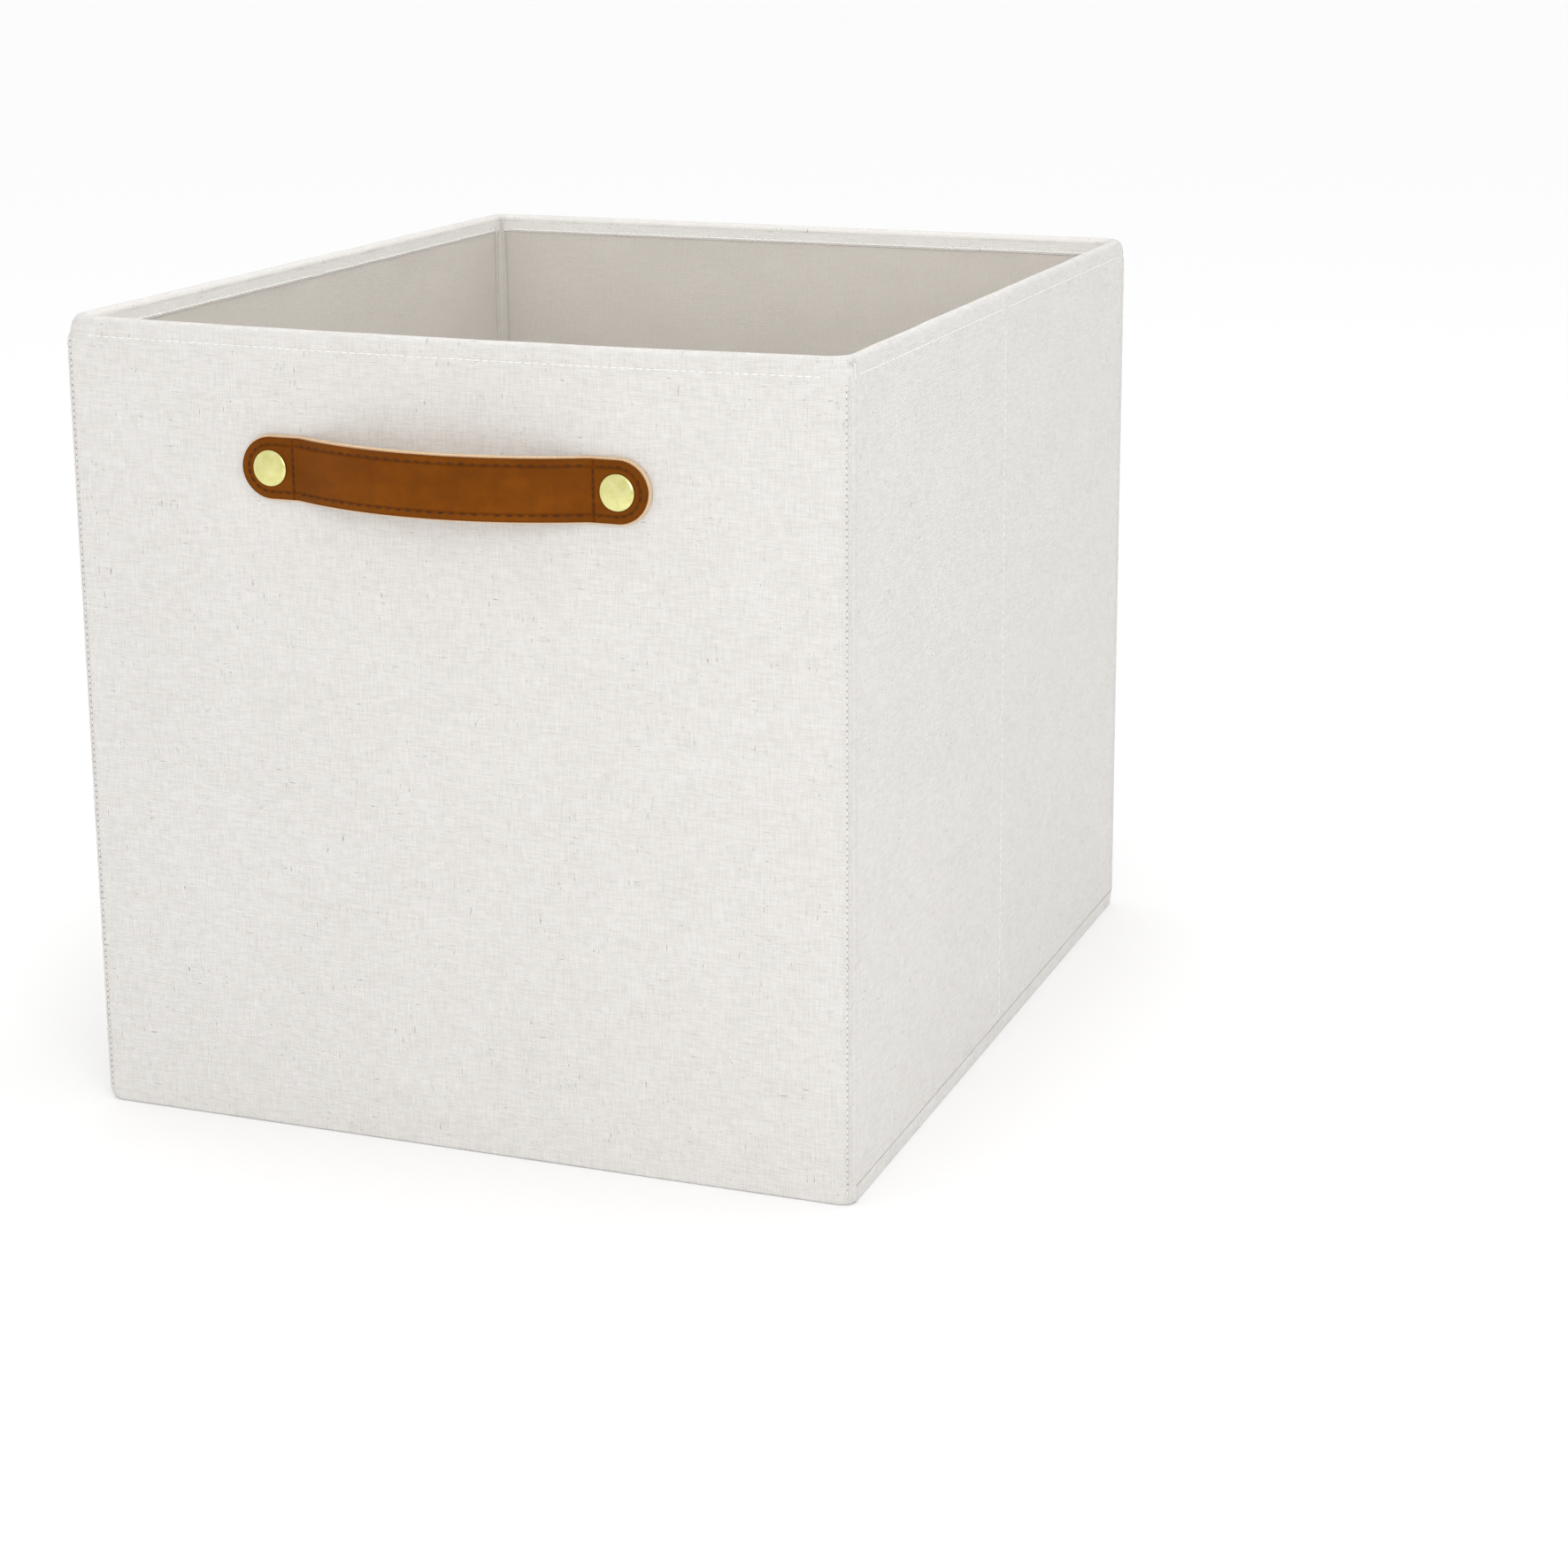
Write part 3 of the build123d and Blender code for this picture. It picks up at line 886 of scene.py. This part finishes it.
def board_piece(node, body):
    """A stiffening board, with its corners eased like the cloth that covers it."""
    low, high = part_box(node)
    axes = []
    for k in range(3):
        step = 6 * MM if high[k] - low[k] > 20 * MM else 1 * MM
        fine = [(v, 14 * MM, 1.5 * MM) for v in (low[k], high[k])] if step > 1 * MM else []
        axes.append(spread(low[k], high[k], step, *fine))
    patch = Patch()
    for k in range(3):
        a, b = (k + 1) % 3, (k + 2) % 3
        for value, flip in ((low[k], True), (high[k], False)):
            first, second = np.meshgrid(axes[a], axes[b])
            points = np.empty(first.shape + (3,))
            points[..., k], points[..., a], points[..., b] = value, first, second
            patch.grid(points, stack(first, second), flip=flip)
    points = patch.array()
    points[:, 2] = np.minimum(points[:, 2], high.z - 0.6 * MM)
    obj = make_object(f"{node}_panel", patch, BOARD, round_corners(sag_front(points)), 1e-6, 30)
    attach(obj, body)
    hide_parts(node)


def base_tray():
    """The bottom's outer cloth, turned up as a low skirt under the side and back walls."""
    low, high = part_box("base_fabric")
    x = spread(low.x + CLOTH_DEPTH, high.x - CLOTH_DEPTH, 8 * MM,
               (low.x, 14 * MM, 1 * MM), (high.x, 14 * MM, 1 * MM))
    y = spread(low.y, high.y - CLOTH_DEPTH, 8 * MM, (high.y, 14 * MM, 1 * MM))
    xs, ys = np.meshgrid(x, y)
    patch = Patch()
    patch.grid(stack(xs, ys, TRAY_Z), stack(xs, ys), flip=True)
    rise = np.array([0, 0.25, 0.6, 1.4, 2.6, 4.0, 5.3, 5.72])[:, None] * MM
    bulge = np.array([0.45, 0.2, 0.05, 0, 0, 0, 0, 0.05])[:, None] * MM
    for px, py, along, flip in ((x, y[-1] - bulge, x, True), (x[0] + bulge, y, y, True),
                                (x[-1] - bulge, y, y, False)):
        patch.grid(stack(px, py, TRAY_Z + rise), stack(along, rise + 0.5), flip=flip)
    obj = make_object("base_outer_cloth", patch, LINEN, round_corners(patch.array()), 1e-6, 60)
    thicken(obj, TRAY_T)
    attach(obj, "front")
    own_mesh(obj)
    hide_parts("base_fabric")


def base_lining_cloth():
    """The lining of the bottom, under the loose base board."""
    low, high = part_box("base_lining")
    x, y = spread(low.x, high.x, 8 * MM), spread(low.y, high.y, 8 * MM)
    xs, ys = np.meshgrid(x, y)
    z = low.z + 0.42 * MM + 0.06 * MM * ripple(xs, ys, 50 * MM, 61)
    patch = Patch()
    patch.grid(stack(xs, ys, z), stack(xs, ys))
    obj = make_object("base_lining_cloth", patch, LINING)
    thicken(obj, BASE_LINING_T)
    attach(obj, "front")
    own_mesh(obj)
    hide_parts("base_lining")


def insert_cover():
    """The loose base board's cover: two skins sewn together round a rounded edge."""
    low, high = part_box("base_insert_cover")
    corner = 12 * MM
    thick = high.z - low.z
    half_x, half_y = high.x, high.y
    profile = [(9.0, 0.0), (5.0, 0.0), (4.2, 0.02), (3.6, 0.10), (3.0, 0.02), (1.4, 0.0),
               (0.6, 0.1), (0.15, 0.3), (0.0, 0.5), (0.15, 0.7), (0.6, 0.9), (1.4, 1.0),
               (3.0, 0.98), (3.6, 0.90), (4.2, 0.98), (5.0, 1.0), (9.0, 1.0)]
    arcs = []
    for k, (sx, sy) in enumerate(((1, 1), (-1, 1), (-1, -1), (1, -1))):
        x, y = sx * (half_x - corner), sy * (half_y - corner)
        for angle in np.radians(np.linspace(0, 90, 9) + 90 * k):
            arcs.append((x, y, math.cos(angle), math.sin(angle)))
    outline = []
    for here, after in zip(arcs, arcs[1:] + arcs[:1]):
        outline.append(here)
        gap = math.hypot(after[0] - here[0], after[1] - here[1])
        steps = max(1, round(gap / (12 * MM)))
        for t in np.linspace(0, 1, steps + 1)[1:-1]:
            outline.append(tuple(a + (b - a) * t for a, b in zip(here, after)))
    middle_x, middle_y, out_x, out_y = np.array(outline).T

    def ring(inset, share):
        """The outline, that far in from its edge and at that share of the board's thickness."""
        reach = corner - inset * MM
        return stack(middle_x + reach * out_x, middle_y + reach * out_y, low.z + thick * share)

    points = np.array([ring(inset, share) for inset, share in profile])
    patch = Patch()
    patch.tube(points, points[..., :2])
    obj = make_object("base_insert_cloth", patch, LINING, sharp=50)
    stitches = Patch()
    loop = ring(3.6, 0.93)
    loop = np.vstack([loop, loop[:1]])
    stitch_run(stitches, loop, (0, 0, 1), 3.2 * MM, 0.9 * MM, THREAD_R, 0.3 * MM, 71)
    thread = make_object("base_insert_stitches", stitches, PALE_THREAD)
    for piece, kind in ((obj, "lining"), (thread, "thread")):
        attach(piece, "base_insert")
    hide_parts("base_insert_cover")


# ---- handle: a path along the wall seen from above, with a distance off the wall ----

STRAP_HALF = (STRAP_HIGH.z - STRAP_LOW.z) / 2
KINK = 59.5 * MM
BOW = 14 * MM
BOW_R = (KINK**2 + BOW**2) / (2 * BOW)
TAB_LINE = 62.3 * MM
EDGE_LINE = 3 * MM
WALL_GAP = FRONT_LOW.y - BACKING_HIGH.y
BACKING_FACE = WALL_GAP + 1.8 * MM
STRAP_FACE = BACKING_FACE + 1.55 * MM


def bow_depth(x):
    """How far the strap stands out from its flat ends, with the kinks softened."""
    middle = np.sqrt(np.maximum(BOW_R**2 - x**2, 0)) - (BOW_R - BOW)
    soft = 0.3 * MM
    return soft * np.logaddexp(0, middle / soft)


def strap_point(x, offset, z):
    """A point at that distance off the strap's wall side."""
    step = 0.1 * MM
    slope = (bow_depth(x + step) - bow_depth(x - step)) / (2 * step)
    length = np.sqrt(1 + slope**2)
    px = x - offset * slope / length
    py = FRONT_LOW.y - bow_depth(x) - offset / length
    return np.stack([px, py, RIVET_Z + z], -1)


def strap_half_height(x, half):
    """Half the strap's height at x, with its round ends."""
    past = np.maximum(np.abs(x) - RIVET_X, 0)
    return np.sqrt(np.maximum(half**2 - past**2, (0.2 * MM) ** 2))


def strap_layer(side, name, inner, outer, half, edge_r, material, seed, grooved):
    """One layer of one half of the strap, from the middle to its round end."""
    round_end = RIVET_X + half * np.sin(np.linspace(0, math.pi / 2, 22))
    straight = spread(0, RIVET_X, 1.5 * MM, (TAB_LINE, 2 * MM, 0.25 * MM))[:-1]
    x = np.concatenate([straight, round_end])
    quarter = np.linspace(0, math.pi / 2, 5)
    flat = spread(-1, 1, 0.06, (-0.76, 0.12, 0.02), (0.76, 0.12, 0.02))
    ring = [(t, 0, 0, 1) for t in flat]
    ring += [(1, a, 1, 1) for a in quarter[1:]] + [(1, a, 1, -1) for a in quarter[1:-1][::-1]]
    ring += [(t, 0, 0, -1) for t in flat[::-1]]
    ring += [(-1, a, 1, -1) for a in quarter[1:]] + [(-1, a, 1, 1) for a in quarter[1:-1][::-1]]
    points = np.empty((len(x), len(ring), 3))
    cloth = np.zeros((len(x), len(ring), 3))
    tall = strap_half_height(x, half)
    r = np.minimum(edge_r, tall * 0.8)
    for column, (t, a, on_edge, face) in enumerate(ring):
        if on_edge:
            offset = (inner + outer) / 2 + face * ((outer - inner) / 2 - r + r * math.cos(a))
            z = t * (tall - r + r * math.sin(a))
        else:
            z = t * (tall - r)
            offset = np.full(x.shape, outer if face > 0 else inner)
            if face > 0 and grooved:
                past = np.maximum(x - RIVET_X, 0)
                from_edge = half - np.hypot(past, z)
                groove = np.maximum(bell(from_edge - EDGE_LINE, 0.5 * MM),
                                    bell(x - TAB_LINE, 0.5 * MM))
                crown = 0.25 * MM * (1 - np.exp(-from_edge / (1.5 * MM)))
                wave = 0.08 * MM * ripple(x, z, 14 * MM, seed)
                offset = offset - 0.34 * MM * groove + crown - 0.25 * MM + wave
                # the groove's depth, which the leather paints darker as shade
                cloth[:, column, 2] = groove
        points[:, column] = strap_point(x, offset, z)
        cloth[:, column, 0], cloth[:, column, 1] = x * side, z + 0.1 * (face < 0) + 0.3 * on_edge
    points[..., 0] *= side
    patch = Patch()
    patch.tube(points, cloth, flip=side > 0)
    obj = make_object(name, patch, material, sharp=50)
    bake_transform(obj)
    return obj


def strap_thread(side, name):
    """The strap's sewing on one half: round the rivet, across the tab and along both edges."""
    patch = Patch()
    inset = STRAP_HALF - EDGE_LINE
    face = STRAP_FACE - 0.22 * MM
    turn = np.linspace(-math.pi / 2, math.pi / 2, 30)
    start_x = [TAB_LINE + 1.5 * MM]
    round_x = np.concatenate([start_x, RIVET_X + inset * np.cos(turn), start_x])
    round_z = np.concatenate([[-inset], inset * np.sin(turn), [inset]])
    grip_x = np.linspace(0.7 * MM, TAB_LINE - 1 * MM, 60)
    lines = [(round_x, round_z, 2.2 * MM, 1.1 * MM),
             (TAB_LINE, np.linspace(-inset, inset, 12), 2.3 * MM, 0.8 * MM),
             (grip_x, -inset, 3.0 * MM, 1.4 * MM),
             (grip_x, inset, 3.0 * MM, 1.4 * MM)]
    for k, (x, z, length, gap) in enumerate(lines):
        x, z = np.broadcast_arrays(x, z)
        path = strap_point(x, face, z)
        out = strap_point(x, face + 1 * MM, z) - path
        out /= np.linalg.norm(out, axis=1)[:, None]
        path[:, 0] *= side
        out[:, 0] *= side
        stitch_run(patch, path, out, length, gap, 0.34 * MM, 0.34 * MM, 80 + k + side)
    obj = make_object(name, patch, DARK_THREAD)
    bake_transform(obj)


def lathe(profile, x, seed, uneven, flip=False):
    """A disc turned from a profile of (radius, distance out from the strap's face).

    It faces -Y, or into the bin when flipped, and has slight dents that are uneven deep.
    """
    angles = np.linspace(0, math.tau, 65)[:-1]
    phase = np.random.default_rng(seed).uniform(0, math.tau, 2)
    dent = uneven * (np.sin(2 * angles + phase[0]) + 0.6 * np.sin(3 * angles + phase[1]))
    rings = []
    for radius, out in profile:
        y = FRONT_LOW.y - STRAP_FACE - out - dent * (min(1, radius / (5 * MM)) * (out > 0))
        rings.append(stack(x + radius * np.cos(angles), y, RIVET_Z + radius * np.sin(angles)))
    points = np.array(rings)
    patch = Patch()
    patch.tube(points, points[..., [0, 2]], flip)
    return patch


def rivet(side):
    """A domed rivet cap on the strap, and its clinched end and washer inside the bin."""
    name = "left" if side < 0 else "right"
    profile = [(2.2, -0.5), (6.6, -0.1), (7.0, 0.05), (7.1, 0.3), (7.0, 0.6), (6.7, 0.85),
               (6.2, 1.02), (5.4, 1.2), (4.4, 1.36), (3.2, 1.5), (2.0, 1.58), (1.0, 1.62),
               (0.2, 1.63)]
    patch = lathe([(r * MM, out * MM) for r, out in profile], side * RIVET_X, 5 + side, 0.05 * MM)
    cap = make_object(f"handle_{name}_rivet_cap", patch, GOLD, sharp=60)
    low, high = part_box(f"handle_{name}_washer")
    back = FRONT_LOW.y - STRAP_FACE
    inner = [(6.0, low.y, 0.1), (6.1, low.y, 0.4), (5.8, high.y, -0.1), (5.0, high.y, 0),
             (3.4, high.y, 0), (3.1, high.y, 0.3), (2.6, high.y, 0.75), (1.6, high.y, 0.9),
             (1.2, high.y, 0.5), (0.2, high.y, 0.35)]
    patch = lathe([(r * MM, back - (y + past * MM)) for r, y, past in inner], side * RIVET_X,
                  5 + side, 0, flip=True)
    washer = make_object(f"handle_{name}_rivet_back", patch, GOLD, sharp=60)
    for obj, node in ((cap, "rivet"), (washer, "washer")):
        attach(obj, "front")
        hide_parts(f"handle_{name}_{node}")


def handle():
    for side, name in ((-1, "left"), (1, "right")):
        face = strap_layer(side, f"handle_face_{name}", BACKING_FACE + 0.05 * MM, STRAP_FACE,
                           STRAP_HALF - 0.55 * MM, 0.5 * MM, LEATHER, 91, True)
        backing = strap_layer(side, f"handle_backing_{name}", WALL_GAP, BACKING_FACE + 0.1 * MM,
                              STRAP_HALF + 0.15 * MM, 0.35 * MM, BACKING, 92, False)
        strap_thread(side, f"handle_thread_{name}")
        parts = (f"{name}_end", "grip") if side > 0 else (f"{name}_end",)
        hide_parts(*(f"handle_face_{part}" for part in parts))
        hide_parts(*(f"handle_backing_{part}" for part in parts))
        rivet(side)


end_wall("front", FRONT_LOW.z, 1)
end_wall("back", SIDE_BOTTOM, 2)
side_wall("left", 3)
side_wall("right", 4)
for side_name in ("left", "right"):
    crease_line(side_name, 5)
    board_piece(f"{side_name}_front_board", f"{side_name}_front")
    board_piece(f"{side_name}_back_board", f"{side_name}_back")
for end_sign, end_name in ((-1, "front"), (1, "back")):
    board_piece(f"{end_name}_board", end_name)
    for side_sign in (-1, 1):
        corner_binding(end_sign, side_sign, end_name)
corner_gusset(-1, -1)
corner_gusset(-1, 1)
corner_gusset(1, 1)
corner_tongue(1, -1, "back")
base_tray()
base_lining_cloth()
insert_cover()
handle()

insert_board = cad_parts["base_insert_board"]
insert_board.data.materials.clear()
insert_board.data.materials.append(BOARD)


# ---- camera, light and floor ----

CAMERA_AT = Vector((0.5316, -1.2289, 0.4968))
CAMERA_TURN = math.radians(19.39), math.radians(13.24)
CAMERA_LENS = 72.1
CAMERA_SHIFT = -0.050, -0.120
FLOOR_SIZE = 60
FLOOR_DROP = 0.2 * MM


def aim(obj, place_at, target):
    """Puts a camera or light in its place and turns it to look at the target."""
    obj.location = place_at
    obj.rotation_mode = "QUATERNION"
    obj.rotation_quaternion = (Vector(target) - Vector(place_at)).to_track_quat("-Z", "Y")


def make_camera():
    """A camera at the place and angle that the bin is seen from."""
    azimuth, elevation = CAMERA_TURN
    look = Vector((-math.sin(azimuth) * math.cos(elevation),
                   math.cos(azimuth) * math.cos(elevation),
                   -math.sin(elevation)))
    data = bpy.data.cameras.new("camera")
    data.lens, data.sensor_width = CAMERA_LENS, 36.0
    data.shift_x, data.shift_y = CAMERA_SHIFT
    data.clip_start = 0.05
    camera = bpy.data.objects.new("camera", data)
    bpy.context.scene.collection.objects.link(camera)
    aim(camera, CAMERA_AT, CAMERA_AT + look)
    bpy.context.scene.camera = camera


def area_light(name, place_at, target, size, power):
    data = bpy.data.lights.new(name, "AREA")
    data.shape = "RECTANGLE"
    data.size, data.size_y = size
    data.energy = power
    light = bpy.data.objects.new(name, data)
    bpy.context.scene.collection.objects.link(light)
    light.visible_camera = False
    aim(light, place_at, target)


def make_floor():
    bpy.ops.mesh.primitive_plane_add(size=FLOOR_SIZE, location=(0, 0, -FLOOR_DROP))
    floor = bpy.context.object
    floor.name = "studio_floor"
    floor.data.materials.append(floor_material())
    floor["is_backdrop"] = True


def make_light():
    world = bpy.data.worlds.new("studio")
    bpy.context.scene.world = world
    world.use_nodes = True
    background = world.node_tree.nodes["Background"]
    background.inputs[0].default_value = (1, 1, 1, 1)
    background.inputs[1].default_value = 1.0
    middle = (0, 0, 0.16)
    area_light("key", (0.75, -1.25, 0.75), middle, (0.8, 0.7), 4.6)
    area_light("top", (0.1, 0.3, 2.4), middle, (1.6, 1.6), 3)
    area_light("inside", (0.02, -0.05, 0.80), (0.02, 0.0, 0), (0.22, 0.22), 0.6)


make_camera()
make_light()
make_floor()
bpy.context.scene.view_settings.view_transform = "Standard"

boxes = {"cad": CAD_BOX, "visual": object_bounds()}
{name: [list(corner) for corner in box] for name, box in boxes.items()}
